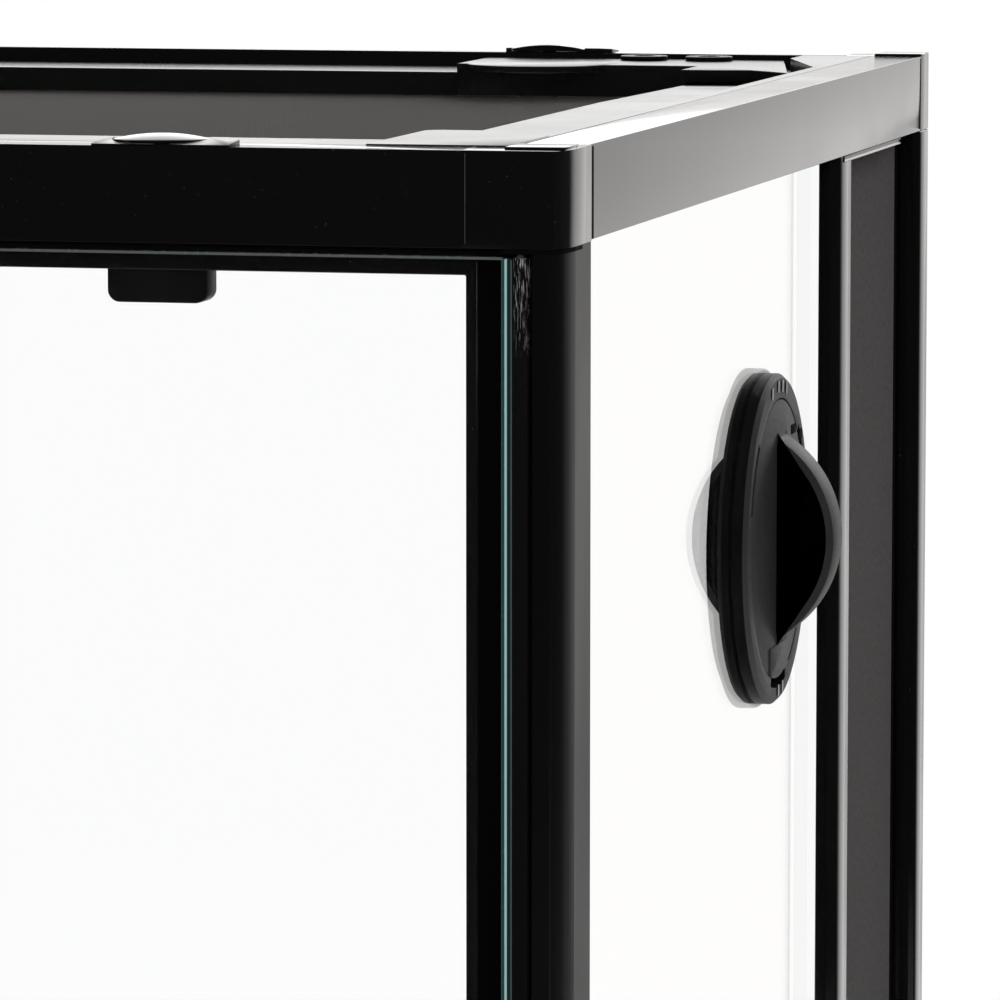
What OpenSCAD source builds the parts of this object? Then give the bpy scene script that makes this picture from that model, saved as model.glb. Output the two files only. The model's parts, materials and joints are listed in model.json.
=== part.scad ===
// Reptile terrarium: knock-down frame of rails and corner blocks, glass panels, twin front doors,
// rear side vents, a turn-and-pull feeding port and a lift-off screen lid held by four turn latches.
// The origin is on the floor under the middle of the frame, front towards -Y.

/* [Tank] */
// Width over the side rails
tank_w = 610; // [500:1:1200]
// Depth over the front and rear rails
tank_d = 610; // [560:1:700]
// Height from the floor to the top of the rails
tank_h = 610; // [450:1:900]
// Height of the rubber feet
foot_h = 6; // [4:0.5:12]

/* [Frame] */
// Height of every rail
rail_h = 27; // [25:0.5:34]
// Width of every rail seen from above
rail_w = 18; // [17.5:0.5:22]
// Wall of the hollow in a rail
rail_wall = 2; // [1.5:0.1:2.5]
// Width of the hollow in a rail
rail_hollow = 8.5; // [6:0.5:8.5]
// Length of a corner block along the front and the rear
corner_leg = 28; // [24:0.5:36]
// Length of a front corner block along the side
corner_side = 34; // [30:0.5:44]
// How far the front corners stand proud of the side rails
corner_proud = 1.2; // [0.4:0.1:1.8]
// Radius of the front corners' outer edge
corner_r = 2.5; // [1.5:0.5:6]
// Side of the raised stacking pad on each top corner
pad_side = 17; // [12:0.5:17.5]
// Height of the stacking pad
pad_h = 0.8; // [0.5:0.1:1.5]
// Length of the tenon that joins a corner block to a rail
tenon_len = 14; // [8:1:20]

/* [Glass] */
// Thickness of all glass
glass_t = 5; // [4:0.5:5]
// Depth of the glass behind the outer faces of the rails
glass_inset = 8; // [7:0.5:8.5]
// How far a pane reaches into its groove
glass_insert = 3; // [2:0.5:3.5]
// Visible height of the fixed pane under the doors
dam_h = 45; // [30:1:90]

/* [Side vents] */
// Distance from the front of the tank to the mullion
mullion_y = 434; // [400:1:455]
// Width of the mullion
mullion_w = 21; // [16:0.5:26]
// Width of the bars of the vent frame
vent_bar = 5.5; // [5:0.5:8]
// Squares across the vent mesh
vent_nx = 5; // [3:1:5]
// Squares up the vent mesh
vent_nz = 22; // [10:1:22]
// Width of a mesh bar
mesh_bar = 1.2; // [0.8:0.1:2]

/* [Doors] */
// Gap over and under the doors
door_gap = 2.4; // [1.5:0.1:3]
// Gap between the two doors
door_mid_gap = 3; // [2.6:0.1:4]
// Distance from the side of the tank to a door glass
door_edge = 16.2; // [15.8:0.1:18]
// Distance from the side of the tank to a hinge pin
hinge_x = 11.6; // [11.5:0.1:12]
// Depth of the hinge pins behind the front face
hinge_y = 2.4; // [2.2:0.1:2.8]
// Radius of a hinge barrel
barrel_r = 3; // [2.6:0.1:3.1]
// Radius of a hinge pin
pin_r = 1.5; // [1:0.1:1.7]
// Width of a hinge leaf behind the glass
leaf_w = 13.4; // [9:0.1:15]
// Height of the door sill
sill_h = 14; // [10:0.5:24]
// Distance from the side of the tank to the door opening
opening_x = 28.5; // [27:0.5:36]
// Height of the stop strip that shows under the front rail
stop_h = 8; // [6:0.5:12]
// Height of a door handle
handle_h = 92; // [70:1:140]
// Reach of a door handle
handle_out = 17; // [14:0.5:26]
// Distance from the middle of the tank to a handle
handle_x = 38; // [34:1:60]
// Height of the lock over the middle of the doors
lock_up = 86; // [70:1:140]
// Radius of the lock's turning plug
plug_r = 5; // [4:0.5:6]

/* [Lid] */
// Width of the lid frame at the front and sides
lid_bar = 26.5; // [22:0.5:34]
// Width of the lid's rear bar
lid_rear_bar = 48; // [42:0.5:56]
// Depth of the screen under the top of the lid
screen_depth = 13.5; // [11:0.5:14]
// Squares across the lid screen
screen_nx = 15; // [6:1:15]
// Squares along the lid screen
screen_ny = 15; // [6:1:15]
// Length of a cable module
module_len = 141.5; // [130:0.5:170]
// Distance from the rear of the tank to the front of a cable module's deep end
module_deep = 98; // [94:1:110]
// Radius of the hole in a cable grommet
cable_r = 4; // [3:0.5:5]

/* [Latches] */
// Distance from the side of the tank to a front latch
latch_front_x = 118; // [90:1:180]
// Distance from the side of the tank to a rear latch
latch_rear_x = 138; // [120:1:160]
// Distance from the rail's outer face to a latch spindle
latch_in = 15; // [14.5:0.1:15]
// Radius of a latch knob
knob_r = 13.5; // [12:0.5:15]
// Height of the dome on a latch knob
knob_dome = 1.5; // [1:0.1:3]
// Radius of a latch spindle
spindle_r = 2.5; // [2:0.1:2.6]
// Width of the housing under a front latch
housing_w = 29; // [22:0.5:36]
// Height of the housing under a front latch
housing_h = 17.5; // [13:0.5:22]

/* [Feeding port] */
// Distance from the front of the tank to the port
port_y = 338; // [300:1:350]
// Distance from the top of the tank to the port
port_down = 146; // [120:1:260]
// Outer radius of the port ring
port_r = 54; // [50:0.5:60]
// How far the port ring stands out of the glass
port_out = 5; // [4:0.5:6]
// Radius of the turning cap
cap_r = 45.5; // [40:0.5:46]
// Reach of the grip beyond the glass
grip_out = 23.5; // [16:0.5:30]
// Height of the grip on the cap's face
grip_h = 68; // [50:1:72]
// Depth of the grip from front to back
grip_w = 16; // [12:0.5:20]

/* [Hidden] */
$fn = 48;
fit = 0.1;            // gap between a part and the groove or hole that holds it
run = 0.05;           // radial gap of a turning pin in its bore
clear = 0.3;          // gap between parts that move past each other
lid_gap = 0.5;        // groove round the lid
eps = 0.01;           // overlap that makes a cut clean
xo = tank_w / 2;
yo = tank_d / 2;
rail_top = tank_h;                    // top rails: top face
rail_under = tank_h - rail_h;         // top rails: lower face
base_top = foot_h + rail_h;           // bottom rails: top face
groove = glass_insert + 0.5;          // depth of the glass grooves
pane_lo = base_top - glass_insert;
pane_hi = rail_under + glass_insert;
sill_z = base_top + dam_h;            // underside of the door sill
sill_top = sill_z + sill_h;
door_lo = sill_top + door_gap;
door_hi = rail_under - door_gap;
door_mid = (door_lo + door_hi) / 2;
stop_y = 10.2;                        // back face of the door stop frame
stop_t = 2.5;                         // thickness of the door stop frame
leaf_t = 2;                           // thickness of a hinge leaf
post_edge = hinge_x - barrel_r - clear;   // width of a front post's face strip
mullion_end = mullion_y + mullion_w;
lid_u = rail_w + lid_gap;             // outer edge of the lid
lid_wall = 2;
lid_in = lid_u + lid_bar;             // inner edge of the lid frame
lid_rear_in = lid_u + lid_rear_bar;   // front edge of the lid's rear bar
lid_rear_drop = 5.1;                  // step down to the rear bar
lid_module_drop = 1.9;                // step down to the cable modules
lid_strip = 4.5;                      // flat strip of a side bar beside its ramp
ramp_len = 257;                       // length of the ramp down to a cable module
ramp_drop = 7.2;                      // fall of the ramp
ramp_flare = 25;                      // how much a side bar widens along its ramp
ramp_foot = tank_d - module_deep;     // the ramp's lower end, from the tank's front
lid_lift = 0.2;                       // gap between lid and ledge
ledge_t = 3;
ledge_w = 8;
ledge_z = rail_top - screen_depth - 1.5 - lid_lift;   // top of the lid ledge
mesh_t = 0.8;
mesh_in = 1.5;                        // depth of a vent mesh behind the glass face
spindle_under = 10;                   // how far a front spindle reaches under the rail
module_wall = 2;
module_side = lid_in + ramp_flare;    // where a module's deep end stops, from the tank's side
module_end = lid_u + module_len;
cable_a = [76, 100];                  // grommets' distances from the tank's side
cable_b = 27;                         // grommets' distance from the tank's rear
grommet_r = 8.6;
floor_z = foot_h + 9;                 // underside of the floor ledge
port_z = tank_h - port_down;
port_yc = port_y - yo;
glass_out = xo - glass_inset;         // outer face of the side glass
glass_back = glass_out - glass_t;
cap_face = port_out - 2;              // front face of the cap, out of the glass
sleeve_in = cap_r + 3.3;              // inner radius of the port ring's sleeve
sleeve_out = sleeve_in + 1.5;
sleeve_end = glass_back - 8;
lug_r = sleeve_in - 0.4;
hub_r = cap_r - 4.5;
lug_angle = 22;
lug_t = 4;
lock_x = 22;                          // distance from the middle of the tank to the lock
vent_y0 = -yo + mullion_end - glass_insert + vent_bar;    // vent opening inside the frame's bars
vent_y1 = yo - rail_w + glass_insert - vent_bar;
vent_z0 = pane_lo + vent_bar;
vent_z1 = pane_hi - vent_bar;
black = "#16161a";
soft_black = "#2b2b2e";
clear_glass = "#a8d8d080";

module left() { mirror([1, 0, 0]) children(); }
module block(lo, hi) { translate(lo) cube(hi - lo); }

// a round bar standing on end
module pillar(x, y, z0, z1, r) { translate([x, y, z0]) cylinder(r = r, h = z1 - z0); }

// ---- frame ----

// Section of a rail: x runs inward from the outer face, y runs down from the top face
module rail_section(glass_groove) {
    difference() {
        translate([0, -rail_h]) square([rail_w, rail_h]);
        translate([rail_wall, -rail_h + groove + rail_wall])
            square([rail_hollow, rail_h - groove - 2 * rail_wall]);
        if (glass_groove)
            translate([glass_inset - fit, -rail_h - eps]) square([glass_t + 2 * fit, groove + eps]);
    }
}

// a rail along X that stands in front of y = 0, with its top face at z = 0
module rail_along_x(len, glass_groove) {
    translate([-len / 2, 0, 0]) rotate([90, 0, 90]) linear_extrude(len) rail_section(glass_groove);
}

// a rail along Y whose outer face is at x = 0, reaching towards -X
module rail_along_y(y0, y1, glass_groove) {
    translate([0, y1, 0]) rotate([90, 0, 0]) linear_extrude(y1 - y0)
        mirror([1, 0]) rail_section(glass_groove);
}

module at_front(z) { translate([0, -yo, z]) children(); }
module at_rear(z) { translate([0, yo, z]) mirror([0, 1, 0]) children(); }
module upside_down() { mirror([0, 0, 1]) children(); }

// upright bores for the latch spindles, and seats for the latch pieces
module latch_spots(dist, rear) {
    for (side = [-1, 1])
        translate([side * (xo - dist), (rear ? 1 : -1) * (yo - latch_in), 0]) children();
}

module top_front_rail() color(black) difference() {
    at_front(rail_top) rail_along_x(tank_w - 2 * corner_leg, false);
    latch_spots(latch_front_x, false) translate([0, 0, rail_under - 1])
        cylinder(r = spindle_r + run, h = rail_h + 2);
}

module top_rear_rail() color(black) difference() {
    at_rear(rail_top) rail_along_x(tank_w - 2 * corner_leg, true);
    latch_spots(latch_rear_x, true) translate([0, 0, rail_under + groove + 1])
        cylinder(r = spindle_r + run, h = rail_h);
}

module side_rail(top) {
    translate([xo, 0, top ? rail_top : foot_h]) mirror([0, 0, top ? 0 : 1])
        rail_along_y(-yo + corner_side, yo - rail_w, true);
}
module top_right_rail() color(black) side_rail(true);
module top_left_rail() color(black) left() side_rail(true);
module bottom_right_rail() color(black) side_rail(false);
module bottom_left_rail() color(black) left() side_rail(false);
module bottom_front_rail() color(black)
    at_front(foot_h) upside_down() rail_along_x(tank_w - 2 * corner_leg, true);
module bottom_rear_rail() color(black)
    at_rear(foot_h) upside_down() rail_along_x(tank_w - 2 * corner_leg, true);

// Outline of a front corner block or post, outer corner rounded
module rounded_corner(leg_x, leg_y) {
    flat_w = leg_x + corner_proud - corner_r;
    translate([xo - leg_x, -yo]) square([flat_w, leg_y]);
    translate([xo - leg_x, -yo + corner_r]) square([leg_x + corner_proud, leg_y - corner_r]);
    translate([xo - leg_x + flat_w, -yo + corner_r]) circle(r = corner_r);
}

// tenon that fits a rail's hollow: x0..x1 along the rail, inset from the rail's outer face
module tenon(len) {
    low = rail_wall + groove;
    translate([0, rail_wall + fit, -rail_h + low + fit])
        cube([len, rail_hollow - 2 * fit, rail_h - low - rail_wall - 2 * fit]);
}

// groove for a pane's edge that crosses a corner block, cut from its lower face
module edge_groove(lo, hi) {
    block([lo[0], lo[1], -rail_h - eps], [hi[0], hi[1], -rail_h + groove]);
}

// Corner blocks are drawn at the right, with their top face at z = 0
module front_corner(top) {
    difference() {
        union() {
            translate([0, 0, -rail_h]) linear_extrude(rail_h) difference() {
                rounded_corner(corner_leg, corner_side);
                translate([xo - corner_leg - 1, -yo + rail_w])
                    square([corner_leg - rail_w + 1, corner_side]);
            }
            translate([xo - corner_leg, -yo, 0]) mirror([1, 0, 0]) tenon(tenon_len);
            translate([xo, -yo + corner_side, 0]) rotate([0, 0, 90]) tenon(tenon_len);
            if (top)
                block([xo - pad_side, -yo + 5, -1], [xo, -yo + 5 + pad_side, pad_h]);
        }
        edge_groove([glass_back - fit, -yo + corner_side - groove],
                    [glass_out + fit, -yo + corner_side + eps]);
        if (!top)
            edge_groove([xo - corner_leg - eps, -yo + glass_inset - fit],
                        [xo - rail_w, -yo + glass_inset + glass_t + fit]);
        if (top)
            translate([xo - hinge_x, -yo + hinge_y, -rail_h - eps]) cylinder(r = pin_r + run, h = 8);
    }
}

module rear_corner(top) {
    difference() {
        union() {
            block([xo - corner_leg, yo - rail_w, -rail_h], [xo, yo, 0]);
            translate([xo - corner_leg, yo, 0]) rotate([0, 0, 180]) tenon(tenon_len);
            translate([xo, yo - rail_w, 0]) rotate([0, 0, 90]) mirror([1, 0, 0]) tenon(tenon_len);
            if (top)
                block([xo - pad_side, yo - pad_side, -1], [xo, yo, pad_h]);
        }
        edge_groove([glass_back - fit, yo - rail_w - eps], [glass_out + fit, yo - rail_w + groove]);
        edge_groove([xo - corner_leg - eps, yo - glass_inset - glass_t - fit],
                    [xo - rail_w + groove, yo - glass_inset + fit]);
    }
}

module raise(top) {
    translate([0, 0, top ? rail_top : foot_h]) mirror([0, 0, top ? 0 : 1]) children();
}
module top_corner_front_right() color(black) raise(true) front_corner(true);
module top_corner_front_left() color(black) left() raise(true) front_corner(true);
module top_corner_rear_right() color(black) raise(true) rear_corner(true);
module top_corner_rear_left() color(black) left() raise(true) rear_corner(true);
module bottom_corner_front_right() color(black) raise(false) front_corner(false);
module bottom_corner_front_left() color(black) left() raise(false) front_corner(false);
module bottom_corner_rear_right() color(black) raise(false) rear_corner(false);
module bottom_corner_rear_left() color(black) left() raise(false) rear_corner(false);

module front_post() {
    translate([0, 0, base_top]) linear_extrude(rail_under - base_top) difference() {
        rounded_corner(rail_w, corner_side);
        translate([xo - rail_w - 1, -yo - eps]) square([rail_w - post_edge + 1, stop_y + eps]);
        translate([xo - rail_w + rail_wall, -yo + stop_y + rail_wall])
            square([rail_w - 2 * rail_wall, corner_side - stop_y - groove - 2 * rail_wall]);
        translate([glass_back - fit, -yo + corner_side - groove])
            square([glass_t + 2 * fit, groove + 1]);
    }
}
module post_front_right() color(black) front_post();
module post_front_left() color(black) left() front_post();

module rear_post() {
    translate([0, 0, base_top]) linear_extrude(rail_under - base_top) difference() {
        translate([xo - rail_w, yo - rail_w]) square(rail_w);
        translate([glass_back - fit, yo - rail_w - eps]) square([glass_t + 2 * fit, groove + eps]);
        translate([xo - rail_w - eps, yo - glass_inset - glass_t - fit])
            square([groove + eps, glass_t + 2 * fit]);
    }
}
module post_rear_right() color(black) rear_post();
module post_rear_left() color(black) left() rear_post();

module feet() color(soft_black) {
    foot_r = rail_w - 4;
    for (sx = [-1, 1], sy = [-1, 1])
        translate([sx * (xo - foot_r - 1), sy * (yo - foot_r - 1), 0]) {
            cylinder(r1 = foot_r - 1.5, r2 = foot_r, h = 1.5);
            translate([0, 0, 1.5]) cylinder(r = foot_r, h = foot_h - 1.5);
        }
}

// a flat rectangular ring along the inner faces of the rails
module ledge_ring() {
    difference() {
        square([tank_w - 2 * rail_w, tank_d - 2 * rail_w], center = true);
        square([tank_w - 2 * (rail_w + ledge_w), tank_d - 2 * (rail_w + ledge_w)], center = true);
    }
}

module floor_ledge() color(black) translate([0, 0, floor_z]) linear_extrude(ledge_t) ledge_ring();

module floor_glass() color(clear_glass) {
    x = xo - rail_w - clear;
    y = yo - rail_w - clear;
    block([-x, -y, floor_z + ledge_t], [x, y, floor_z + ledge_t + glass_t]);
}

module cable_spots() {
    for (side = [-1, 1], a = cable_a) translate([side * (xo - a), yo - cable_b, 0]) children();
}

module lid_ledge() color(black) difference() {
    translate([0, 0, ledge_z - ledge_t]) linear_extrude(ledge_t) ledge_ring();
    cable_spots() translate([0, 0, ledge_z - ledge_t - 1]) cylinder(r = grommet_r, h = ledge_t + 2);
}

// ---- glass and side vents ----

module side_pane() {
    block([glass_back, -yo + corner_side - glass_insert, pane_lo],
          [glass_out, -yo + mullion_y + glass_insert, pane_hi]);
}
module left_glass() color(clear_glass) left() side_pane();
module right_glass() color(clear_glass) difference() {
    side_pane();
    at_port() translate([0, 0, -glass_t - 1]) cylinder(r = sleeve_out + clear, h = glass_t + 2);
}

module rear_glass() color(clear_glass) {
    x = xo - rail_w + glass_insert;
    y = yo - glass_inset;
    block([-x, y - glass_t, pane_lo], [x, y, pane_hi]);
}

module dam_glass() color(clear_glass) {
    x = xo - rail_w - clear;
    y = -yo + glass_inset;
    block([-x, y, pane_lo], [x, y + glass_t, sill_z + glass_insert]);
}

module mullion() {
    lip = 0.6;
    translate([0, 0, base_top]) linear_extrude(rail_under - base_top) difference() {
        translate([glass_back, -yo + mullion_y]) square([xo - lip - glass_back, mullion_w]);
        for (y = [mullion_y - eps, mullion_end - groove])
            translate([glass_back - fit, -yo + y]) square([glass_t + 2 * fit, groove + eps]);
    }
}
module right_mullion() color(black) mullion();
module left_mullion() color(black) left() mullion();

// stands a drawing in the YZ plane: x becomes Y, y becomes Z, thickness towards +X
module upright(x) { translate([x, 0, 0]) rotate([90, 0, 90]) children(); }

module vent_frame() {
    upright(glass_back) linear_extrude(glass_t) difference() {
        translate([vent_y0 - vent_bar, vent_z0 - vent_bar])
            square([vent_y1 - vent_y0 + 2 * vent_bar, vent_z1 - vent_z0 + 2 * vent_bar]);
        translate([vent_y0, vent_z0]) square([vent_y1 - vent_y0, vent_z1 - vent_z0]);
    }
}
module right_vent_frame() color(black) vent_frame();
module left_vent_frame() color(black) left() vent_frame();

// a sheet of fine wire mesh over a rectangle: a closed sheet with a net of raised bars on it
module mesh_sheet(w, h, nx, ny) {
    gap_x = (w - (nx + 1) * mesh_bar) / nx;
    gap_y = (h - (ny + 1) * mesh_bar) / ny;
    difference() {
        linear_extrude(mesh_t) square([w, h]);
        translate([0, 0, mesh_t / 2]) linear_extrude(mesh_t)
            for (i = [0 : nx - 1], j = [0 : ny - 1])
                translate([mesh_bar + i * (gap_x + mesh_bar), mesh_bar + j * (gap_y + mesh_bar)])
                    square([gap_x, gap_y]);
    }
}

module vent_mesh() {
    upright(glass_out - mesh_in) translate([vent_y0, vent_z0, 0])
        mesh_sheet(vent_y1 - vent_y0, vent_z1 - vent_z0, vent_nx, vent_nz);
}
module right_vent_mesh() color("dimgray") vent_mesh();
module left_vent_mesh() color("dimgray") left() vent_mesh();

// ---- door opening ----

module door_sill() color(black) {
    front_x = xo - post_edge - clear;
    back_x = xo - rail_w;
    slot_pitch = 22;
    slots = floor((tank_w - 120) / slot_pitch / 2);
    difference() {
        union() {
            block([-front_x, -yo, sill_z], [front_x, -yo + stop_y - clear, sill_top]);
            block([-back_x, -yo + stop_y - 1, sill_z], [back_x, -yo + rail_w, sill_top]);
        }
        block([-front_x - 1, -yo + glass_inset - fit, sill_z - eps],
              [front_x + 1, -yo + glass_inset + glass_t + fit, sill_z + groove]);
        for (i = [-slots : slots], row = [0, 1])
            translate([i * slot_pitch - 8, -yo - 1, sill_top - 3.5 - 3.4 * row]) cube([16, rail_w + 2, 1.8]);
        for (side = [-1, 1])
            translate([side * (xo - hinge_x), -yo + hinge_y, sill_top - 8]) cylinder(r = pin_r + run, h = 9);
    }
}

module door_stop_frame() color(black) {
    outer_x = xo - post_edge - clear;
    inner_x = xo - opening_x;
    translate([0, -yo + stop_y, 0]) rotate([90, 0, 0]) linear_extrude(stop_t) difference() {
        translate([-outer_x, sill_top]) square([2 * outer_x, rail_under - sill_top]);
        translate([-inner_x, sill_top + stop_h])
            square([2 * inner_x, rail_under - sill_top - 2 * stop_h]);
    }
}

module hinge_pins() color("silver") {
    for (side = [-1, 1])
        pillar(side * (xo - hinge_x), -yo + hinge_y, sill_top - 7.5, rail_under + 7.5, pin_r);
}

// ---- doors ----

module door_pane(lock_hole) {
    difference() {
        block([door_mid_gap / 2, -yo, door_lo], [xo - door_edge, -yo + glass_t, door_hi]);
        if (lock_hole)
            at_lock() translate([0, 0, -glass_t - 1]) cylinder(r = plug_r + 4 + fit, h = glass_t + 2);
    }
}
module right_door_glass() color(clear_glass) door_pane(true);
module left_door_glass() color(clear_glass) left() door_pane(false);

module hinge_leaf() {
    hx = xo - hinge_x;
    difference() {
        union() {
            pillar(hx, -yo + hinge_y, door_lo, door_hi, barrel_r);
            block([hx - leaf_w, -yo + glass_t, door_lo], [hx, -yo + glass_t + leaf_t, door_hi]);
            block([hx - barrel_r + 0.2, -yo + hinge_y, door_lo], [hx, -yo + glass_t + leaf_t, door_hi]);
        }
        pillar(hx, -yo + hinge_y, door_lo - 1, door_hi + 1, pin_r + run);
    }
}
module right_hinge_leaf() color(black) hinge_leaf();
module left_hinge_leaf() color(black) left() hinge_leaf();

// a bow handle: two feet and a bar, standing out of the glass towards -Y
module door_handle() {
    w = 12;
    foot = 16;
    bar = 5;
    translate([handle_x - w / 2, -yo - handle_out, door_mid - handle_h / 2]) {
        cube([w, bar, handle_h]);
        for (z = [0, handle_h - foot]) translate([0, bar - eps, z]) cube([w, handle_out - bar + eps, foot]);
    }
}
module right_door_handle() color(black) door_handle();
module left_door_handle() color(black) left() door_handle();

// edge strip on the left door's free edge
module door_seal() color("gainsboro") {
    wall = 1;
    grip = 8;          // how far the strip reaches over the glass
    web = door_mid_gap / 2 - clear;
    difference() {
        block([-door_mid_gap / 2 - grip, -yo - wall, door_lo],
              [-door_mid_gap / 2 + web, -yo + glass_t + wall, door_hi]);
        block([-door_mid_gap / 2 - grip - 1, -yo, door_lo - 1],
              [-door_mid_gap / 2, -yo + glass_t, door_hi + 1]);
    }
}

// The lock's axis runs along Y through the right door; z points out of the door
module at_lock() {
    translate([lock_x, -yo, door_mid + lock_up]) rotate([90, 0, 0]) children();
}

module lock_body() color("silver") at_lock() difference() {
    union() {
        cylinder(r = plug_r + 7.5, h = 3.5);
        translate([0, 0, -glass_t - 3]) cylinder(r = plug_r + 4, h = glass_t + 4);
        translate([0, 0, -glass_t - 3]) cylinder(r = plug_r + 7.5, h = 3);
    }
    translate([0, 0, -glass_t - 4]) cylinder(r = plug_r + run, h = glass_t + 9);
}

module lock_plug() color("gray") at_lock() {
    cam_len = lock_x + 14;
    difference() {
        translate([0, 0, -glass_t - 6]) cylinder(r = plug_r, h = glass_t + 6 + 4.5);
        translate([-0.9, -plug_r * 0.7, 3]) cube([1.8, plug_r * 1.4, 3]);
    }
    translate([-6, -cam_len + 6, -glass_t - 6]) cube([12, cam_len, 2.4]);
}

// ---- lid ----

// Drawings in plan with x inward from the tank's side and y from the tank's front
module in_plan(z) {
    for (m = [0, 1]) mirror([m, 0, 0]) translate([xo, -yo, z]) mirror([1, 0, 0]) children();
}

// front edge of a cable module's deep end, moved back by a distance
function deep_edge(back) = [for (p = [[0, 0], [module_side - 47, 3], [module_side - 31, -14]])
    [module_side - p[0], ramp_foot + p[1] + back]];

module lid_frame() color(black) union() {
    low = rail_top - lid_rear_drop;
    bottom = rail_top - screen_depth - 1.5;
    shelf = lid_wall + 3;                              // width of the shelf over the screen's edge
    ramp_y = ramp_foot - ramp_len;
    hidden_edge = deep_edge(module_wall + fit);
    x1 = xo - lid_u;
    x0 = xo - lid_in;
    y0 = -yo + lid_u;
    y1 = yo - lid_u;
    over_screen = screen_depth - clear;
    difference() {
        union() {
            block([-x1, y0, bottom], [x1, -yo + lid_in, rail_top]);
            block([-x1, yo - lid_rear_in, bottom], [x1, y1, low]);
            in_plan(bottom) {
                translate([lid_u, lid_u, 0]) cube([lid_bar, ramp_foot - lid_u, rail_top - bottom]);
                translate([lid_u, lid_u, 0]) cube([lid_bar, tank_d - 2 * lid_u, low - bottom]);
            }
            // the part that widens stands clear of the screen
            in_plan(rail_top - over_screen) linear_extrude(over_screen)
                polygon([[lid_u, ramp_y], [lid_in, ramp_y], [module_side, ramp_foot],
                         [module_side, ramp_foot + 20], [lid_u, ramp_foot + 20]]);
            in_plan(rail_top - over_screen) linear_extrude(over_screen - lid_rear_drop)
                translate([lid_u, ramp_foot]) square([module_side - lid_u, module_deep - lid_u]);
        }
        // the ramp, and the low seat of the cable module behind it
        in_plan(rail_top) intersection() {
            rotate([90, 0, 90]) linear_extrude(module_side + 1)
                polygon([[ramp_y, 0], [ramp_foot + 20, -ramp_drop * (1 + 20 / ramp_len)],
                         [ramp_foot + 20, 1], [ramp_y, 1]]);
            translate([0, 0, -ramp_drop - 1]) linear_extrude(ramp_drop + 3)
                polygon(concat([[lid_u + lid_strip, ramp_y - 1], [module_side + 1, ramp_y - 1],
                                hidden_edge[0] + [1, 0]], hidden_edge,
                               [[lid_u + lid_strip, hidden_edge[2][1]]]));
        }
        in_plan(low) translate([lid_u + lid_strip, hidden_edge[2][1] - eps, 0])
            cube([module_side, module_deep, lid_rear_drop + 1]);
        // hollow underside
        block([-x1 + lid_wall, y0 + lid_wall, bottom - 1],
              [x1 - lid_wall, -yo + lid_in - lid_wall, rail_top - lid_wall]);
        in_plan(bottom - 1) translate([lid_u + lid_wall, lid_u + lid_wall, 0]) {
            inside = lid_bar - 2 * lid_wall;
            cube([inside, ramp_y - lid_u - lid_wall, rail_top - lid_wall - bottom + 1]);
            cube([inside, tank_d - 2 * lid_u - 2 * lid_wall, low - 2 * lid_wall - bottom + 1]);
        }
        block([-x1 + lid_wall, yo - lid_rear_in + lid_wall, bottom - 1],
              [x1 - lid_wall, y1 - lid_wall, low - lid_wall]);
        // the inner walls stop on the screen
        block([-x0 - shelf, -yo + lid_in - shelf, bottom - 1],
              [x0 + shelf, yo - lid_rear_in + shelf, rail_top - screen_depth]);
        // cable ways
        cable_spots() translate([0, 0, bottom - 1]) cylinder(r = cable_r + 2, h = screen_depth + 3);
    }
    // full-height strip along the side, with a triangle in the rear corner
    in_plan(low - eps) linear_extrude(lid_rear_drop + eps)
        polygon([[lid_u, ramp_foot - 20], [lid_u + lid_strip, ramp_foot - 20],
                 [lid_u + lid_strip, ramp_foot - 8], [43, tank_d - 43], [43, tank_d - lid_u],
                 [lid_u, tank_d - lid_u]]);
    corner_plates();
}

function arc(cx, cy, r, a0, a1, n) =
    [for (i = [0 : n]) let (a = a0 + (a1 - a0) * i / n) [cx + r * cos(a), cy + r * sin(a)]];

module corner_plates() {
    reach_x = 15;      // how far a plate reaches over the screen
    reach_y = 46;
    tip = 24;          // radius of the end that lies on the side bar
    end_r = 5;
    t = 0.3;
    a0 = lid_u + 0.5;
    a1 = lid_in + reach_x;
    b1 = lid_in + reach_y;
    for (side = [0, 1]) mirror([side, 0, 0])
        translate([xo, -yo, rail_top]) mirror([1, 0, 0]) linear_extrude(t)
            polygon(concat([[a0, a0], [a1, a0]], arc(a1 - end_r, b1 - end_r, end_r, 0, 90, 6),
                           arc(a0 + tip, b1 - tip, tip, 90, 180, 10)));
}

module lid_screen() color("dimgray") {
    rim = 2;
    x0 = -xo + lid_in - rim;
    y0 = -yo + lid_in - rim;
    w = tank_w - 2 * lid_in + 2 * rim;
    h = tank_d - lid_in - lid_rear_in + 2 * rim;
    translate([x0, y0, rail_top - screen_depth - mesh_t]) mesh_sheet(w, h, screen_nx, screen_ny);
}

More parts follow.
